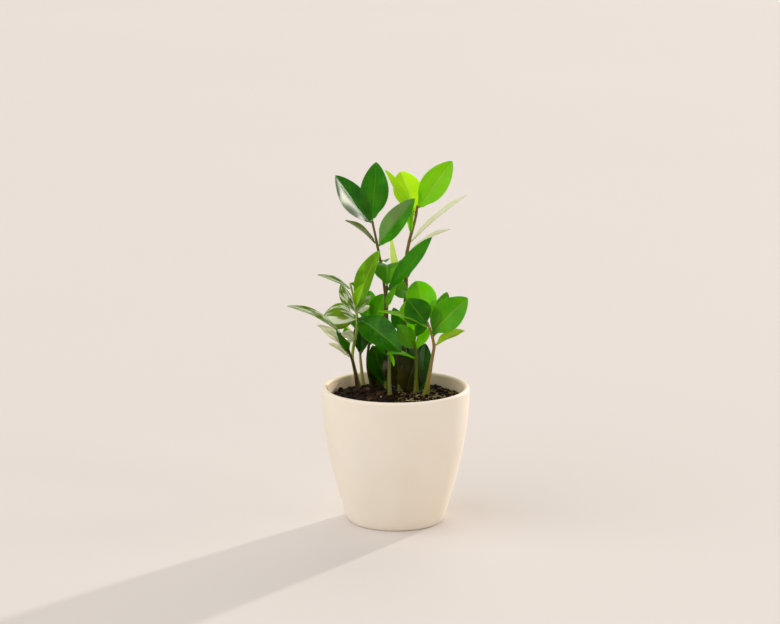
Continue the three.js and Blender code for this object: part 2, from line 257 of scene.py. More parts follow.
def smoothPath(points, steps):
    # steps are places along the path, counted in points; the direction at a point is that of its neighbours
    points = np.asarray(points, float)
    last = len(points) - 1
    ahead = np.vstack([points[1:], points[-1:]])
    behind = np.vstack([points[:1], points[:-1]])
    heading = ahead - behind
    heading /= np.linalg.norm(heading, axis=1, keepdims=True) + 1e-12
    steps = np.clip(np.asarray(steps, float), 0, last - 1e-9)
    index = steps.astype(int)
    t = (steps - index)[:, None]
    start, end = points[index], points[index + 1]
    length = np.linalg.norm(end - start, axis=1, keepdims=True)
    return (
        (2 * t**3 - 3 * t**2 + 1) * start
        + (t**3 - 2 * t**2 + t) * length * heading[index]
        + (-2 * t**3 + 3 * t**2) * end
        + (t**3 - t**2) * length * heading[index + 1]
    )


def unit(vectors):
    return vectors / (np.linalg.norm(vectors, axis=-1, keepdims=True) + 1e-12)


def ringFaces(rings, count):
    # quads between rings of the same count, and a fan at each end, whose points come first and last
    faces = []
    for ring in range(rings - 1):
        for i in range(count):
            j = (i + 1) % count
            low, high = 1 + ring * count, 1 + (ring + 1) * count
            faces.append((low + i, low + j, high + j, high + i))
    top, last = 1 + (rings - 1) * count, 1 + rings * count
    for i in range(count):
        j = (i + 1) % count
        faces.append((0, 1 + j, 1 + i))
        faces.append((top + i, top + j, last))
    return faces


def mergedGraph(node):
    # a CAD node's distinct points and which of them share an edge
    mesh = nodes[node].data
    tree = kdtree.KDTree(len(mesh.vertices))
    for vertex in mesh.vertices:
        tree.insert(vertex.co, vertex.index)
    tree.balance()
    owner, places = {}, []
    for vertex in mesh.vertices:
        if vertex.index in owner:
            continue
        for _, index, _ in tree.find_range(vertex.co, 2e-6):
            owner.setdefault(index, len(places))
        places.append(np.array(vertex.co))
    near = [set() for _ in places]
    for edge in mesh.edges:
        a, b = (owner[index] for index in edge.vertices)
        if a != b:
            near[a].add(b)
            near[b].add(a)
    return places, near


def slices(node, heights):
    # the centre and radius of an upright node at each height
    mesh = nodes[node].data
    co = np.empty(len(mesh.vertices) * 3)
    mesh.vertices.foreach_get("co", co)
    co = co.reshape(-1, 3)
    ends = np.empty(len(mesh.edges) * 2, int)
    mesh.edges.foreach_get("vertices", ends)
    a, b = co[ends[0::2]], co[ends[1::2]]
    found = []
    for height in heights:
        crossing = (a[:, 2] - height) * (b[:, 2] - height) < 0
        p, q = a[crossing], b[crossing]
        share = ((height - p[:, 2]) / (q[:, 2] - p[:, 2]))[:, None]
        points = (p + (q - p) * share)[:, :2]
        middle = (points.min(0) + points.max(0)) / 2
        turns = np.arctan2(*(points - middle).T[::-1])
        ring = points[np.argsort(turns)]
        following = np.roll(ring, -1, axis=0)
        cross = ring[:, 0] * following[:, 1] - following[:, 0] * ring[:, 1]
        area = cross.sum() / 2
        centre = ((ring + following) * cross[:, None]).sum(0) / (6 * area)
        found.append((*centre, height, math.sqrt(abs(area) / math.pi)))
    return np.array(found)


def widestAt(node, height):
    # the greatest radius of the node's points within a millimetre of a height, or else at the nearest height
    co = np.array([vertex.co for vertex in nodes[node].data.vertices])
    away = np.abs(co[:, 2] - height)
    near = co[away <= max(0.001, away.min() + 1e-5)]
    return float(np.hypot(near[:, 0], near[:, 1]).max())


# Pot

potSetup = {
    "sides": 144,
    "perSegment": 6,  # rings for each stretch of the CAD profile
    "clay": (240, 232, 219),
    "warm": (236, 226, 209),
    # painted light: the inside colour, a warmer, brighter cream, stands in for the warm light on the inner
    # wall near the rim
    "inside": (255, 233, 206),
    "innerRadius": 0.0672,  # near the rim, the wall nearer the axis than this is the pot's inside, which gets the painted light
    "innerHeight": 0.1,  # and only above this height
    "grainScale": 900.0,
    "grainDepth": 0.00006,
    "waveScale": 55.0,
}


def potMaterial():
    shader = Shader("matt cream glaze")
    broad = shader.noise(14.0, 3.0)
    fine = shader.noise(potSetup["grainScale"], 2.0)
    turned = shader.noise(potSetup["waveScale"], 2.0, stretch=(0.25, 0.25, 4.0))
    colour = shader.mix(broad.rise(0.3, 0.75), paint(potSetup["clay"]), paint(potSetup["warm"]))
    across, depth, height = shader.node("SeparateXYZ", {}, {0: shader.place()}).parts()
    radius = (across * across + depth * depth) ** 0.5
    edge, start = potSetup["innerRadius"], potSetup["innerHeight"]
    # the inner wall near the rim gets the painted light colour
    paintedInsideMask = (1 - radius.rise(edge, edge + 0.001)) * height.rise(start, start + 0.01)
    colour = shader.mix(paintedInsideMask, colour, paint(potSetup["inside"]))
    normal = shader.bump(fine + turned * 1.5, 0.25, potSetup["grainDepth"])
    roughness = 0.5 + 0.14 * fine
    return shader.finish(shader.node("BsdfPrincipled", {}, {
        "Base Color": colour, "Roughness": roughness, "Normal": normal, "Specular IOR Level": 0.35}))


def makePot():
    places, near = mergedGraph("pot")
    chain = [i for i, p in enumerate(places) if abs(p[0]) < 1e-6 and p[1] < 1e-6]
    start = min(chain, key=lambda i: np.linalg.norm(places[i]))
    path, seen = [start], {start}
    while True:
        onward = [i for i in near[path[-1]] if i in chain and i not in seen]
        if not onward:
            break
        path.append(onward[0])
        seen.add(onward[0])
    profile = np.array([(-places[i][1], places[i][2]) for i in path])
    steps = np.linspace(1, len(profile) - 1, potSetup["perSegment"] * (len(profile) - 2) + 1)
    fine = smoothPath(profile, steps)
    fine[:, 1] = np.maximum(fine[:, 1], 0)
    sides = potSetup["sides"]
    turns = np.linspace(0, 2 * math.pi, sides, endpoint=False)
    points = [(0, 0, 0)]
    rings = fine[:-1]
    for radius, height in rings:
        points += [(radius * math.cos(t), radius * math.sin(t), height) for t in turns]
    points.append((0, 0, profile[-1][1]))
    makePiece("pot_shell", points, ringFaces(len(rings), sides), potMaterial(), "pot")
    print("pot made")


# Soil

soilSetup = {
    "sides": 150,
    "rings": 46,
    "edgeGap": 0.0004,  # to the wall
    "edgeBelow": 0.005,  # under the top, where the radius at the wall is read
    "sideBelow": 0.006,  # under the top, where the side ends
    "holeBelow": 0.02,  # what lies lower than this under the top is a stem's hole
    "holeStep": 0.0008,  # the steps outwards in looking for the level beside a hole
    "grainGap": 0.003,  # between the loose pieces and the edge
    "underside": (0.0, 0.35, 0.7, 0.93),  # the rings below the surface, as shares of the way up
    "tones": ((17, 11, 5), (40, 27, 13)),
    "wet": 0.05,
    "roughness": 0.0011,
    "bumps": ((130, 1.0), (310, 0.6), (700, 0.35)),  # how fine, and how strong
}

# loose pieces: how many, their sizes in metres, their shape, their tones, and where they lie: the
# direction from the middle and its scatter in radians, or nothing for all over
soilGrains = {
    "crumbs": {"count": 420, "sizes": (0.0006, 0.0026), "shape": (1, 1, 0.8),
               "tones": ((22, 14, 6), (60, 42, 22)), "lean": None},
    # real bark, pale, but gathered towards the right front as painted light, where light falls on the soil
    "bark": {"count": 170, "sizes": (0.0007, 0.002), "shape": (1.9, 0.9, 0.6),
             "tones": ((72, 60, 30), (154, 136, 90)), "lean": (-0.3, 0.75)},
    "clods": {"count": 9, "sizes": (0.0022, 0.0046), "shape": (1.5, 1, 0.6),
              "tones": ((38, 25, 17), (96, 68, 50)), "lean": (3.0, 0.45)},
    # pale flecks of grit, gathered towards the right front as painted light, where light falls on the soil
    "flecks": {"count": 110, "sizes": (0.0005, 0.0012), "shape": (1.3, 1, 0.8),
               "tones": ((136, 120, 78), (204, 192, 150)), "lean": (-0.2, 0.8)},
}


def soilMaterial(name, dark, light, wet=0.0):
    shader = Shader(name)
    clumps = shader.noise(160.0, 5.0, 0.6)
    grains = shader.noise(1100.0, 3.0, 0.6)
    mask = clumps.rise(0.42, 0.72)
    colour = shader.mix(mask, paint(dark), paint(light))
    colour = shader.mix(grains.rise(0.55, 0.8) * 0.6, colour, paint([min(255, 1.7 * v) for v in light]))
    normal = shader.bump(clumps + grains * 0.5, 0.9, 0.0012)
    return shader.finish(shader.node("BsdfPrincipled", {}, {
        "Base Color": colour, "Roughness": 0.9 - 0.2 * grains, "Normal": normal,
        "Specular IOR Level": 0.1 + wet}))


def makeGrains(height, farthest):
    rng = random.Random(7)
    for kind, grain in soilGrains.items():
        name = "soil_" + kind
        shape = grain["shape"]
        mesh = bmesh.new()
        for _ in range(grain["count"]):
            reach = farthest * math.sqrt(rng.random())
            turn = rng.gauss(*grain["lean"]) if grain["lean"] else rng.uniform(0, 2 * math.pi)
            x, y = reach * math.cos(turn), reach * math.sin(turn)
            size = rng.uniform(*grain["sizes"])
            lump = bmesh.ops.create_icosphere(mesh, subdivisions=2, radius=1)["verts"]
            spin = rng.uniform(0, 2 * math.pi)
            lean = rng.uniform(-0.5, 0.5)
            seed = Vector((rng.random() * 9, rng.random() * 9, rng.random() * 9))
            base = Vector((x, y, height(x, y) + size * shape[2] * 0.35))
            for vertex in lump:
                grown = vertex.co * (1 + 0.38 * noise.noise(vertex.co * 1.3 + seed))
                grown = Vector((grown.x * shape[0], grown.y * shape[1], grown.z * shape[2])) * size
                grown = Vector((grown.x, grown.y * math.cos(lean) - grown.z * math.sin(lean),
                                grown.y * math.sin(lean) + grown.z * math.cos(lean)))
                vertex.co = base + Vector((grown.x * math.cos(spin) - grown.y * math.sin(spin),
                                           grown.x * math.sin(spin) + grown.y * math.cos(spin), grown.z))
        data = bpy.data.meshes.new(name)
        mesh.to_mesh(data)
        mesh.free()
        data.shade_smooth()
        data.materials.append(soilMaterial(name.replace("_", " "), *grain["tones"]))
        piece = link(bpy.data.objects.new(name, data))
        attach(piece, "root")


def makeSoil():
    bottom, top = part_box("soil")
    surface = BVHTree.FromObject(nodes["soil"], bpy.context.evaluated_depsgraph_get())
    sides, ringCount = soilSetup["sides"], soilSetup["rings"]
    edge = widestAt("soil", top.z - soilSetup["edgeBelow"]) - soilSetup["edgeGap"]

    def cadHeight(x, y):
        hit = surface.ray_cast(Vector((x, y, 0.3)), Vector((0, 0, -1)))[0]
        return hit.z if hit and hit.z > top.z - soilSetup["holeBelow"] else None

    def height(x, y):
        found = cadHeight(x, y)
        step = 0
        while found is None:  # over a stem's hole, take the level beside it
            step += 1
            angle = step * 2.4
            reach = soilSetup["holeStep"] * step
            found = cadHeight(x + reach * math.cos(angle), y + reach * math.sin(angle))
        place = Vector((x, y, 0))
        rough = sum(strength * noise.noise(place * scale) for scale, strength in soilSetup["bumps"])
        return found + soilSetup["roughness"] * rough

    turns = np.linspace(0, 2 * math.pi, sides, endpoint=False)
    points = [(0, 0, bottom.z)]
    for share in soilSetup["underside"]:
        z = bottom.z + (top.z - soilSetup["sideBelow"] - bottom.z) * share
        radius = widestAt("soil", z)
        points += [(radius * math.cos(t), radius * math.sin(t), z) for t in turns]
    for ring in range(ringCount):
        radius = edge * (1 - ring / ringCount)
        for t in turns:
            x, y = radius * math.cos(t), radius * math.sin(t)
            points.append((x, y, height(x * 0.995, y * 0.995)))
    points.append((0, 0, height(0, 0)))
    rings = len(soilSetup["underside"]) + ringCount
    soil = soilMaterial("moist soil", *soilSetup["tones"], soilSetup["wet"])
    makePiece("soil_bed", points, ringFaces(rings, sides), soil, "soil")

    makeGrains(height, edge - soilSetup["grainGap"])
    print("soil made")


# Stems

def stemMaterial(name, look):
    shader = Shader(name)
    streaks = shader.noise(260.0, 3.0, 0.55, stretch=(1, 1, 0.14))
    blotches = shader.noise(90.0, 3.0, 0.6, stretch=(1, 1, 0.5))
    height = shader.node("SeparateXYZ", {}, {0: shader.place()}).parts()[2]
    upper = (height + (blotches - 0.5) * 0.03).rise(look["turnsAt"] - 0.03, look["turnsAt"] + 0.03)
    colour = shader.mix(upper, paint(look["low"]), paint(look["high"]))
    colour = shader.mix(streaks.rise(0.4, 0.75) * 0.55, colour, paint(look["streak"]))
    colour = shader.mix(blotches.rise(0.58, 0.75) * 0.5, colour, paint(look["blotch"]))
    normal = shader.bump(streaks, 0.4, 0.0003)
    skin = shader.node("BsdfPrincipled", {}, {
        "Base Color": colour, "Roughness": 0.38 + 0.2 * blotches, "Normal": normal,
        "Specular IOR Level": 0.2, "Coat Weight": 0.05})
    return shader.finish(skin)


stemLooks = {
    "low_left": {"low": (54, 36, 20), "high": (78, 74, 24), "turnsAt": 0.165},
    "middle_left": {"low": (130, 122, 62), "high": (150, 168, 70), "turnsAt": 0.15},
    "back_left": {"low": (176, 166, 116), "high": (112, 112, 48), "turnsAt": 0.155},
    "back_middle": {"low": (42, 32, 16), "high": (66, 82, 16), "turnsAt": 0.15},
    "tall_left": {"low": (48, 76, 8), "high": (94, 88, 26), "turnsAt": 0.19},
    "front": {"low": (96, 112, 46), "high": (72, 62, 24), "turnsAt": 0.165},
    "tall_right": {"low": (38, 58, 6), "high": (118, 98, 40), "turnsAt": 0.2},
    "back_right": {"low": (42, 68, 6), "high": (46, 74, 6), "turnsAt": 0.15},
    "middle_right": {"low": (84, 104, 26), "high": (96, 88, 32), "turnsAt": 0.16},
    "low_right": {"low": (92, 112, 20), "high": (134, 104, 62), "turnsAt": 0.15},
}

stemShape = {
    "sides": 20,
    "rings": 130,
    "slices": 26,
    "depth": 0.113,  # the height in the soil at which the visible stem starts
    "knotRise": 0.16,
    "knotLength": 0.0016,
    "topGap": 0.0006,  # the last slice lies this far under the top
    "footCap": 0.0004,
    "tipCap": 0.6,  # in radii
}
stemPaths = {}


def readStem(name):
    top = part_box(f"stem_{name}")[1]
    heights = np.linspace(stemShape["depth"], top.z - stemShape["topGap"], stemShape["slices"])
    found = slices(f"stem_{name}", heights)
    centres, radii = found[:, :3], found[:, 3]
    lean = unit(np.gradient(centres, axis=0))[:, 2]
    stemPaths[name] = (centres, radii * np.sqrt(np.clip(lean, 0.3, 1)))


def nearestOnStem(name, point):
    centres, radii = stemPaths[name]
    steps = np.linspace(0, len(centres) - 1, 500)
    path = smoothPath(centres, steps)
    best = int(np.argmin(np.linalg.norm(path - point, axis=1)))
    return steps[best], path[best], np.interp(steps[best], range(len(radii)), radii)


def makeStem(name, knots):
    centres, radii = stemPaths[name]
    steps = np.linspace(0, len(centres) - 1, stemShape["rings"])
    path = smoothPath(centres, steps)
    heading = unit(np.gradient(path, axis=0))
    radius = np.interp(steps, range(len(radii)), radii)
    for knot in knots:
        away = path - smoothPath(centres, [knot])[0]
        away = np.linalg.norm(away, axis=1) / stemShape["knotLength"]
        radius = radius * (1 + stemShape["knotRise"] * np.exp(-away**2))
    side = unit(np.cross(heading, (0.0, 1.0, 0.0)))
    other = np.cross(heading, side)
    sides = stemShape["sides"]
    points = [path[0] - heading[0] * stemShape["footCap"]]
    phase = random.Random(name).random() * 9
    for i in range(len(path)):
        for k in range(sides):
            turn = 2 * math.pi * k / sides
            ridge = 1 + 0.03 * math.sin(3 * turn + phase + 40 * path[i][2])
            ridge += 0.02 * math.sin(5 * turn - phase)
            outward = side[i] * math.cos(turn) + other[i] * math.sin(turn)
            points.append(path[i] + radius[i] * ridge * outward)
    points.append(path[-1] + heading[-1] * stemShape["tipCap"] * radius[-1])
    look = dict(stemLooks[name])
    look["streak"] = tuple(min(255, v * 1.35) for v in look["high"])
    look["blotch"] = tuple(v * 0.55 for v in look["low"])
    piece = makePiece(f"stem_{name}_skin", points, ringFaces(len(path), sides),
                      stemMaterial(f"stem {name}", look), f"stem_{name}")
    fixNormals(piece)


def fixNormals(piece):
    mesh = bmesh.new()
    mesh.from_mesh(piece.data)
    bmesh.ops.recalc_face_normals(mesh, faces=mesh.faces)
    mesh.to_mesh(piece.data)
    mesh.free()


# Leaflets

# leafPlace holds, for each point of a leaflet, where it lies: across from -1 to 1, along from 0 to 1,
# and 1 on the upper side or 0 on the lower one
def leafMaterial(name, look):
    shader = Shader(name)
    across, along, side = shader.node(
        "SeparateXYZ", {}, {0: shader.node("Attribute", {"attribute_name": "leafPlace"}, {}, "Vector")}
    ).parts()
    width = abs(across)
    cloud = shader.noise(70.0, 3.0, 0.55)
    speckle = shader.noise(900.0, 2.0, 0.5)
    veinPhase = (along * 11.0 - width ** 1.3 * 2.6) * (2 * math.pi) + (cloud - 0.5) * 3.0
    veins = veinPhase.sine().rise(0.72, 1.0) * width.rise(0.04, 0.2) * (1 - width.rise(0.8, 1.0))
    rib = 1 - width.rise(0.015, 0.075)
    rim = width.rise(0.93, 1.0)
    under = 1 - side.rise(0.4, 0.6)

    colour = shader.mix(cloud.rise(0.3, 0.7), paint(look["deep"]), paint(look["bright"]))
    colour = shader.mix(along.rise(0.0, 0.35) * -0.5 + 0.5, colour, paint(look["base"]))
    colour = shader.mix(veins * 0.3, colour, paint(look["vein"]))
    colour = shader.mix(rib * 0.75, colour, paint(look["vein"]))
    colour = shader.mix(rim * 0.6, colour, paint(look["vein"]))
    colour = shader.mix(under * 0.55, colour, paint(look["under"]))
    # streaks: the pale ones are painted highlights along the blade; on the near-white leaflets, whose white
    # is itself a painted highlight, they are the green lines between
    if "streak" in look:
        height = shader.node("SeparateXYZ", {}, {0: shader.place()}).parts()[2]
        flat = shader.node("CombineXYZ", {}, {
            0: across * 1.4 + width * along, 1: along * 0.9 - width * 0.7, 2: height * 60.0})
        grain = shader.node("TexNoise", {}, {"Vector": flat, "Scale": 2.0, "Detail": 2.0, "Roughness": 0.5})
        edge = look.get("streakFrom", 0.46)
        colour = shader.mix(grain.rise(edge, edge + 0.09) * 0.95, colour, paint(look["streak"]))

    relief = (1 - rib) * 0.6 + veins * 0.5 + speckle * 0.12
    normal = shader.bump(relief, 0.35, 0.00035)
    coatAndPaintedSheenHalf = 1 - across.rise(-0.2, 0.05)  # one half of the blade: it gets the extra coat, and in the sheen look a painted sheen as well
    gloss = look["coat"] if "waxy" not in look else look["coat"] + look["waxy"] * coatAndPaintedSheenHalf
    # painted sheen: a pale olive wash on the glossy half, fading out towards the tip, stands in for a
    # reflection
    if "paintedSheen" in look:
        colour = shader.mix(coatAndPaintedSheenHalf * (1 - along.rise(0.55, 1.0)) * 0.75, colour, paint(look["paintedSheen"]))
    skin = shader.node("BsdfPrincipled", {}, {
        "Base Color": colour,
        "Roughness": look["roughness"] + 0.12 * cloud,
        "Normal": normal,
        "Specular IOR Level": 0.14,
        "Coat Weight": gloss,
        "Coat Roughness": look.get("coatRough", 0.12),
        "Coat IOR": look.get("coatIor", 1.5),
    })
    glow = shader.node("BsdfTranslucent", {}, {"Color": paint(look["glow"]), "Normal": normal})
    through = look["through"] * (1 - rib * 0.6) * (1 - veins * 0.15) + rim * 0.2
    both = shader.node("MixShader", {}, {0: through, 1: skin, 2: glow})
    return shader.finish(both)


# the colours and gloss of each kind of leaflet. Streaks (the pale ones are painted highlights), a glossy half
# and a painted sheen on that half are there only where a row gives "streak", "waxy" and the painted sheen
# colour
leafLooks = {
    # painted shade: a darker copy of the leaf colours for leaflets that sit in shade
    "dark": {
        "deep": (22, 66, 0), "bright": (42, 94, 2), "base": (40, 70, 4), "vein": (70, 116, 14),
        "under": (54, 100, 10), "glow": (76, 150, 0), "through": 0.36, "roughness": 0.25, "coat": 0.1,
    },
    "deep": {
        "deep": (28, 92, 0), "bright": (62, 128, 0), "base": (50, 98, 4), "vein": (92, 146, 20),
        "under": (68, 126, 14), "glow": (112, 204, 0), "through": 0.43, "roughness": 0.22, "coat": 0.12,
    },
    "glossy": {
        "deep": (20, 84, 0), "bright": (44, 116, 0), "base": (60, 90, 10), "vein": (84, 142, 20),
        "under": (66, 124, 14), "glow": (90, 200, 0), "through": 0.3, "roughness": 0.2, "coat": 0.03,
        "waxy": 0.97, "coatIor": 3.0, "coatRough": 0.22,
    },
    # one half of the blade has a strong coat and a painted sheen, a pale olive wash that stands in for a
    # reflection
    "sheen": {
        "deep": (38, 108, 0), "bright": (64, 136, 0), "base": (70, 116, 4), "vein": (130, 166, 50),
        "under": (90, 148, 24), "glow": (124, 218, 0), "through": 0.42, "roughness": 0.22, "coat": 0.02,
        "waxy": 0.9, "coatIor": 2.0, "paintedSheen": (124, 134, 62),
    },
    "middle": {
        "deep": (56, 120, 0), "bright": (92, 152, 0), "base": (74, 124, 4), "vein": (136, 178, 40),
        "under": (96, 148, 24), "glow": (150, 224, 0), "through": 0.5, "roughness": 0.22, "coat": 0.14,
    },
    "olive": {
        "deep": (84, 98, 12), "bright": (110, 122, 24), "base": (90, 90, 22), "vein": (160, 166, 84),
        "under": (112, 120, 44), "glow": (150, 190, 20), "through": 0.35, "roughness": 0.24, "coat": 0.2,
    },
    "spring": {
        "deep": (90, 150, 0), "bright": (122, 178, 2), "base": (104, 154, 6), "vein": (164, 208, 60),
        "under": (126, 182, 34), "glow": (180, 248, 0), "through": 0.62, "roughness": 0.24, "coat": 0.14,
    },
    "fresh": {
        "deep": (104, 156, 10), "bright": (132, 182, 24), "base": (112, 162, 14), "vein": (180, 216, 84),
        "under": (146, 190, 50), "glow": (186, 240, 8), "through": 0.6, "roughness": 0.24, "coat": 0.16,
    },
    "lime": {
        "deep": (128, 194, 8), "bright": (168, 220, 34), "base": (140, 184, 24), "vein": (206, 234, 110),
        "under": (176, 216, 76), "glow": (222, 252, 14), "through": 0.7, "roughness": 0.25, "coat": 0.16,
    },
    "pale": {
        "deep": (186, 208, 118), "bright": (210, 224, 156), "base": (170, 192, 96),
        "vein": (226, 234, 184), "under": (206, 222, 150), "glow": (230, 248, 150), "through": 0.6,
        "roughness": 0.3, "coat": 0.16,
    },
    "faded": {
        "deep": (224, 230, 204), "bright": (240, 240, 228), "base": (186, 200, 140),
        "vein": (240, 242, 226), "under": (230, 234, 214), "glow": (248, 250, 232), "through": 0.6,
        "roughness": 0.35, "coat": 0.1,
    },
    "tender": {
        "deep": (140, 180, 44), "bright": (178, 206, 92), "base": (146, 184, 50), "vein": (206, 226, 130),
        "under": (180, 208, 100), "glow": (214, 240, 70), "through": 0.6, "roughness": 0.26, "coat": 0.14,
    },
    # painted shade: a dark brownish copy of the leaf colours for the leaflets low between the stems, where
    # shade lies
    "gloomy": {
        "deep": (42, 46, 10), "bright": (70, 68, 18), "base": (50, 44, 14), "vein": (80, 86, 24),
        "under": (64, 62, 18), "glow": (70, 84, 0), "through": 0.2, "roughness": 0.3, "coat": 0.1,
    },
    # painted highlight: a near-white blade with green streaks, standing in for a bright reflection on a green
    # leaflet
    "whitened": {
        "deep": (246, 250, 232), "bright": (252, 253, 244), "base": (214, 224, 160),
        "vein": (240, 244, 220), "under": (236, 242, 212), "glow": (254, 255, 232), "through": 0.62,
        "roughness": 0.3, "coat": 0.2, "streak": (104, 136, 34), "streakFrom": 0.5,
    },
    "moss": {
        "deep": (96, 140, 2), "bright": (118, 162, 8), "base": (98, 144, 6), "vein": (156, 190, 50),
        "under": (118, 162, 30), "glow": (170, 226, 0), "through": 0.5, "roughness": 0.24, "coat": 0.16,
    },
    # painted highlights: pale streaks along the blade stand in for reflections
    "streaked": {
        "deep": (84, 108, 6), "bright": (118, 144, 18), "base": (84, 120, 8), "vein": (150, 170, 64),
        "under": (120, 146, 40), "glow": (168, 214, 20), "through": 0.38, "roughness": 0.22, "coat": 0.3,
        "coatIor": 1.6, "streak": (255, 255, 240),
    },
}

leafTints = {
    # the dark tint is painted shade
    "dark": ("tall_left_7",),
    "deep": (
        "middle_right_2", "tall_left_1", "tall_left_6", "back_left_2", "back_middle_2", "tall_right_8",
        "front_1", "middle_left_5", "back_right_1",
    ),
    "glossy": ("tall_left_2",),
    "sheen": ("tall_left_4",),
    "middle": (
        "tall_left_5", "front_2", "front_3", "front_4", "middle_right_3", "low_right_3", "low_right_4",
        "low_left_4", "back_left_1", "back_middle_1", "back_right_3",
    ),
    "olive": ("tall_left_3",),
    "moss": ("middle_left_1",),
    "spring": ("low_right_1", "middle_right_4", "middle_right_1"),
    "fresh": ("tall_right_2", "tall_right_9", "low_right_2", "back_right_2", "tall_right_4"),
    "lime": ("tall_right_1", "tall_right_3"),
    "tender": ("low_right_5",),
    "pale": ("tall_right_7",),
    "faded": ("tall_right_5", "tall_right_6"),
    "streaked": ("middle_left_2", "middle_left_3", "middle_left_4", "low_left_1"),
    "whitened": ("middle_left_6", "low_left_2", "low_left_3"),
}

# leaflets that the CAD leaves out. Each springs from its stem at a height; its reach goes from the stem's
# middle to the tip, and its upper side faces the direction given
extraLeaves = {
    "middle_left_top": {
        "stem": "middle_left", "height": 0.2255, "reach": (0.0085, 0.004, -0.004),
        "faces": (0.2, -0.7, 0.6), "width": 0.008, "tint": "middle",
    },
    "middle_left_thin": {
        "stem": "middle_left", "height": 0.167, "reach": (-0.0093, 0.012, 0.0143),
        "faces": (-0.5, -0.7, 0.3), "width": 0.008, "tint": "pale",
    },
    "middle_left_tiny": {
        "stem": "middle_left", "height": 0.197, "reach": (0.013, -0.004, 0.007),
        "faces": (0.2, -0.7, 0.6), "width": 0.007, "tint": "whitened",
    },
    "middle_left_strip": {
        "stem": "middle_left", "height": 0.203, "reach": (0.0085, -0.022, 0.027),
        "faces": (-0.5, -0.8, 0.2), "width": 0.009, "tint": "lime",
    },
    "middle_left_second": {
        "stem": "middle_left", "height": 0.2, "reach": (0.0145, -0.002, 0.014), "faces": (0.2, -0.7, 0.6),
        "width": 0.007, "tint": "streaked",
    },
    "middle_left_shade": {
        "stem": "back_left", "height": 0.15, "reach": (0.003, -0.004, 0.038), "faces": (-0.2, -0.95, 0.1),
        "width": 0.016, "tint": "dark",
    },
    "low_left_lower": {
        "stem": "low_left", "height": 0.157, "reach": (-0.0125, -0.008, 0.024), "faces": (0.3, -0.9, 0.3),
        "width": 0.008, "tint": "deep",
    },
    "low_right_shade": {
        "stem": "low_right", "height": 0.1925, "reach": (-0.019, -0.003, 0.0245), "faces": (0, -1, 0.1),
        "width": 0.027, "tint": "deep",
    },
    "middle_right_top": {
        "stem": "middle_right", "height": 0.182, "reach": (-0.005, -0.014, 0.022),
        "faces": (-0.3, -0.9, 0.1), "width": 0.007, "tint": "spring",
    },
    "front_low": {
        "stem": "front", "height": 0.164, "reach": (0.005, -0.01, -0.012), "faces": (0.3, -0.9, 0.2),
        "width": 0.0035, "tint": "spring",
    },
    # the shade_ leaflets are dark leaflets set low between the stems, where shade lies, most with the painted
    # shade tints
    "shade_left": {
        "stem": "tall_left", "height": 0.12, "reach": (-0.002, 0.012, 0.05), "faces": (-0.1, -0.95, 0.1),
        "width": 0.03, "tint": "deep",
    },
    "shade_foot": {
        "stem": "back_middle", "height": 0.119, "reach": (0.016, -0.006, 0.034),
        "faces": (0.1, -0.95, 0.1), "width": 0.024, "tint": "gloomy",
    },
    "shade_middle": {
        "stem": "tall_right", "height": 0.12, "reach": (-0.006, 0.008, 0.046), "faces": (0.1, -0.95, 0.1),
        "width": 0.03, "tint": "gloomy",
    },
    "shade_low": {
        "stem": "tall_right", "height": 0.118, "reach": (0.012, -0.004, 0.036),
        "faces": (0.1, -0.95, 0.1), "width": 0.026, "tint": "gloomy",
    },
    "shade_right": {
        "stem": "back_right", "height": 0.119, "reach": (0.01, 0.006, 0.05), "faces": (0.1, -0.95, 0.1),
        "width": 0.026, "tint": "dark",
    },
    "shade_far_right": {
        "stem": "middle_right", "height": 0.12, "reach": (0.009, 0.01, 0.048), "faces": (0.2, -0.95, 0.1),
        "width": 0.018, "tint": "dark",
    },
}

leafShape = {
    "across": (0, 0.025, 0.06, 0.12, 0.2, 0.32, 0.46, 0.6, 0.74, 0.86, 0.95, 1.0),
    "perSegment": 6,
    "thickness": 0.00055,
    "edgeThickness": 0.00018,
    "ribDepth": 0.0007,
    "ribWidth": 0.0009,
    "groove": 0.0003,
    "grooveWidth": 0.0006,
    "taper": 0.45,  # thickness and rib lose this share towards the tip
    "hollow": 1.47,  # the CAD blade's halves sag like this power of the way out
    "wave": 0.0005,
    "waveHalf": 0.006,  # a blade whose half is narrower than this waves less
    "stemGap": 0.0003,
    "rootDepth": 0.5,  # the stalk's root lies this many stem radii inside the stem
    "stalkRadius": 0.00085,
    "stalkFlare": 1.5,
    "flareLength": 0.45,  # in rings
    "stalkEnd": 0.3,  # in rings: where the round stalk starts to turn into the blade
    "stalkTurn": 0.9,  # and how many rings that takes
    "wedge": 0.52,  # the blade's width at the end of the stalk, as a share of the first ring's
}

# how a leaflet without a CAD node is drawn
extraShape = {
    "stalkAt": 0.045,
    "ringsAt": (0.13, 0.26, 0.41, 0.56, 0.71, 0.85, 0.95),
    "bow": 0.08,
    "cup": 0.3,
}


def orderedRing(members, near):
    ring = [members[0]]
    while len(ring) < len(members):
        ring.append(next(i for i in near[ring[-1]] if i in members and i not in ring))
    return ring


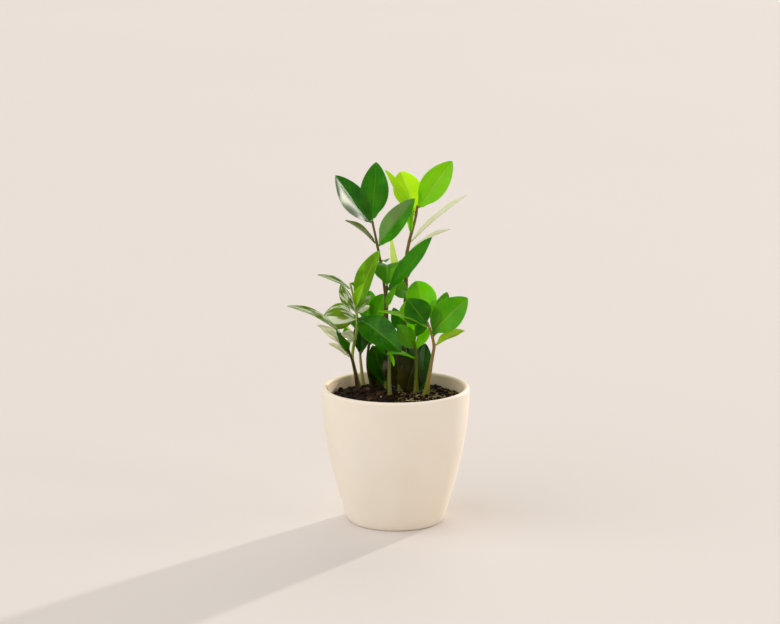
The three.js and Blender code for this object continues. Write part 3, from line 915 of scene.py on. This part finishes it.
def readLeaf(node, stem):
    # the base, stalk ring, blade rings (left edge, right edge, rib above, rib below) and tip
    places, near = mergedGraph(node)
    ends = [i for i, around in enumerate(near) if len(around) == 8]
    ends.sort(key=lambda i: np.linalg.norm(nearestOnStem(stem, places[i])[1] - places[i]))
    base, tip = ends[0], ends[-1]
    levels, seen = [[base]], {base}
    while len(seen) < len(places):
        level = [i for i in range(len(places)) if i not in seen and any(j in near[i] for j in levels[-1])]
        levels.append(level)
        seen.update(level)
    rings = []
    for level in levels[2:-1]:
        ring = orderedRing(level, near)
        shape = [places[i] for i in ring]
        far = max(range(4), key=lambda k: np.linalg.norm(shape[k] - shape[k + 4]))
        left, right = shape[far], shape[far + 4]
        one, two = shape[(far + 2) % 8], shape[(far + 6) % 8]
        rise = (left + right) / 2 - (one + two) / 2
        above, below = (one, two) if np.dot(one - two, rise) > 0 else (two, one)
        if rings and np.linalg.norm(left - rings[-1][0]) > np.linalg.norm(right - rings[-1][0]):
            left, right = right, left
        rings.append((left, right, above, below))
    stalk = np.mean([places[i] for i in levels[1]], axis=0)
    return places[base], stalk, rings, places[tip]


def leafMesh(name, base, stalk, rings, tip, root):
    # root is the point inside the stem that the stalk runs to
    rng = random.Random(name)
    phases = [rng.uniform(0, 9) for _ in range(2)]
    wedge = [stalk + (edge - rings[0][2]) * leafShape["wedge"] for edge in rings[0][:2]]
    left = np.array([base, wedge[0]] + [ring[0] for ring in rings] + [tip])
    right = np.array([base, wedge[1]] + [ring[1] for ring in rings] + [tip])
    rib = np.array([base, stalk] + [ring[2] for ring in rings] + [tip])
    perSegment = leafShape["perSegment"]
    segments = len(rib) - 1
    steps = np.linspace(0, segments, segments * perSegment + 1)[1:-1]
    steps = np.concatenate([steps, [segments - 0.08, segments - 0.03]])
    lefts, rights, ribs = (smoothPath(edge, steps) for edge in (left, right, rib))
    along = unit(np.gradient(ribs, axis=0))
    ups = np.array([(ring[0] + ring[1]) / 2 - ring[2] for ring in rings])
    ups = np.vstack([ups[:1], ups[:1], ups, ups[-1:]])
    up = unit(smoothPath(unit(ups), steps))
    up = unit(up - along * (up * along).sum(1, keepdims=True))
    across = np.cross(along, up)
    if ((rights - lefts) * across).sum() < 0:
        lefts, rights = rights, lefts
    shares = leafShape["across"]
    upper = [*reversed(shares), *[-s for s in shares[1:]]]
    lower = [*[-s for s in reversed(shares)], *shares[1:]]
    points = [root]
    places = [(0.0, 0.0, 1.0)]
    for k, step in enumerate(steps):
        blade = min(1.0, max(0.0, (step - leafShape["stalkEnd"]) / leafShape["stalkTurn"]))
        blade = blade * blade * (3 - 2 * blade)
        share = step / segments
        taper = 1 - leafShape["taper"] * share
        half = np.linalg.norm(rights[k] - lefts[k]) / 2
        flare = 1 + (leafShape["stalkFlare"] - 1) * math.exp(-((step / leafShape["flareLength"]) ** 2))
        for side, row in ((1, upper), (-1, lower)):
            for s in row:
                size = abs(s)
                edge = rights[k] if s > 0 else lefts[k]
                out = edge - ribs[k]
                lift = float(np.dot(out, up[k]))
                place = ribs[k] + out * size + up[k] * lift * (size ** leafShape["hollow"] - size)
                turns = 6 if s > 0 else 7
                ripple = leafShape["wave"] * size**2 * math.sin(phases[0] + turns * share * 2)
                ripple += 0.6 * leafShape["wave"] * size * math.sin(phases[1] + 11 * share + 2 * s)
                place = place + up[k] * ripple * min(1, half / leafShape["waveHalf"]) * (1 - share**4)
                gap = size * half
                if side > 0:
                    groove = math.exp(-((gap / leafShape["grooveWidth"]) ** 2))
                    place = place - up[k] * leafShape["groove"] * groove * taper
                else:
                    thick = leafShape["thickness"] * (1 - size) + leafShape["edgeThickness"] * size
                    ridge = leafShape["ribDepth"] * math.exp(-((gap / leafShape["ribWidth"]) ** 2))
                    place = place - up[k] * (thick + ridge) * taper
                turn = math.acos(max(-1.0, min(1.0, s)))
                circle = across[k] * math.cos(turn) + up[k] * (math.sin(turn) * side)
                onStalk = ribs[k] + circle * leafShape["stalkRadius"] * flare
                points.append(place * blade + onStalk * (1 - blade))
                places.append((s, share, 1.0 if side > 0 else 0.0))
    points.append(tip)
    places.append((0.0, 1.0, 1.0))
    count = len(upper) + len(lower)
    return points, places, ringFaces(len(steps), count)


def plannedLeaf(leaf):
    # the same points as readLeaf gives, and the root, for a leaflet that has no CAD node
    reach = np.array(leaf["reach"])
    centres, radii = stemPaths[leaf["stem"]]
    step = np.interp(leaf["height"], centres[:, 2], range(len(centres)))
    centre = smoothPath(centres, [step])[0]
    radius = np.interp(step, range(len(radii)), radii)
    start = centre + unit(reach * (1, 1, 0.2)) * (radius + leafShape["stemGap"])
    tip = centre + reach
    chord = tip - start
    across = unit(np.cross(np.array(leaf["faces"]), chord))
    face = unit(np.cross(chord, across))
    bow = face * extraShape["bow"] * np.linalg.norm(chord)

    def ribAt(share):
        return start + chord * share + bow * (4 * share * (1 - share))

    rings = []
    for share in extraShape["ringsAt"]:
        half = 0.5 * leaf["width"] * math.sin(math.pi * ((share - 0.06) / 0.94) ** 0.9) ** 0.74
        rise = face * half * extraShape["cup"]
        rib = ribAt(share)
        rings.append((rib + across * half + rise, rib - across * half + rise, rib, rib - face * 0.001))
    return start, ribAt(extraShape["stalkAt"]), rings, tip, centre


def makeLeaf(name, node, measured, look):
    points, places, faces = leafMesh(name, *measured)
    piece = makePiece(name, points, faces, look, node)
    attribute = piece.data.attributes.new("leafPlace", "FLOAT_VECTOR", "POINT")
    attribute.data.foreach_set("vector", np.array(places, np.float32).ravel())
    fixNormals(piece)


def makePlant():
    materials = {tint: leafMaterial(f"{tint} leaf", look) for tint, look in leafLooks.items()}
    slots = {part["node"]: part["material_slot"] for part in frame["record"]["subparts"]}
    for name in stemLooks:
        readStem(name)
    knots = {name: [] for name in stemLooks}
    tints = {leaf: tint for tint, row in leafTints.items() for leaf in row}
    for node in sorted(slots):
        if not node.startswith("leaf_"):
            continue
        leaf = node.removeprefix("leaf_")
        stem = leaf.rsplit("_", 1)[0]
        measured = readLeaf(node, stem)
        step, centre, radius = nearestOnStem(stem, measured[0])
        knots[stem].append(step)
        inward = unit(centre - measured[0])
        root = measured[0] + inward * (leafShape["stemGap"] + leafShape["rootDepth"] * radius)
        makeLeaf(f"{node}_blade", node, (*measured, root), materials[tints[leaf]])
    for name, leaf in extraLeaves.items():
        measured = plannedLeaf(leaf)
        makeLeaf(f"leaf_{name}_blade", None, measured, materials[leaf["tint"]])
    print("leaflets made")
    for name in stemLooks:
        makeStem(name, knots[name])
    print("stems made")


# Rhizomes

rhizomeTones = ((112, 84, 52), (168, 134, 88))


def finishRhizomes():
    # they lie in the soil, and keep the CAD's own shape
    skin = soilMaterial("rhizome skin", *rhizomeTones)
    for name in ("rhizome_left", "rhizome_right"):
        for slot in nodes[name].material_slots:
            slot.material = skin
    print("rhizomes finished")


makeCamera()
makeAir()
makeLights()
makeFloor()
makePot()
makeSoil()
makePlant()
finishRhizomes()
